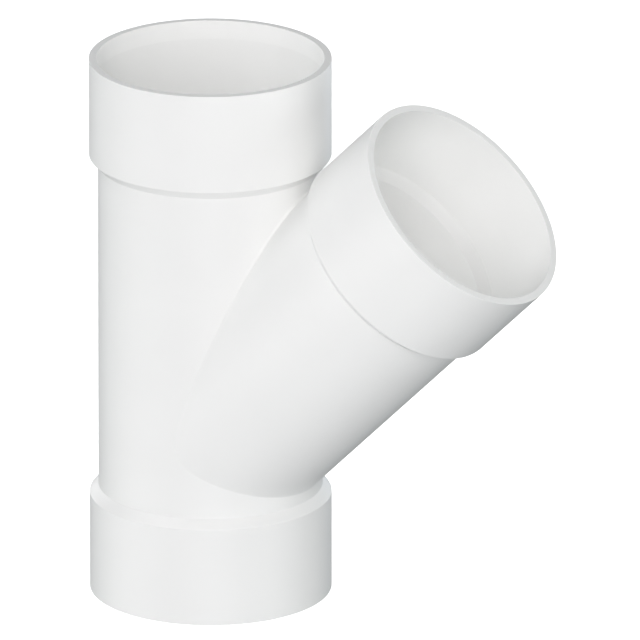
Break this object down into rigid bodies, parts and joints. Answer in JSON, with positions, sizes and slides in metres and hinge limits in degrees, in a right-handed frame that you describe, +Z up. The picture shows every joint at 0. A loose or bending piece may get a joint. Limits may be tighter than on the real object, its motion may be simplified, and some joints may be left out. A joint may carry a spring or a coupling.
{
  "type": "pipe wye fitting",
  "caption": "White plastic drain pipe wye: a straight run with a side branch at 45 degrees and a socket hub on each end.",
  "frame": {"origin": "middle of the bottom of the part's box, with the run standing on its bottom hub; the run's axis is at x = -0.059759", "axes": "+Z up along the run, +X towards the side that the branch leans to, Y across the plane of the two axes"},
  "size_m": [0.2344, 0.1148, 0.2643],
  "materials": {
    "white_pvc": "moulded white rigid PVC, satin"
  },
  "bodies": {
    "root": {"wye_body": "white_pvc"}
  },
  "joints": []
}
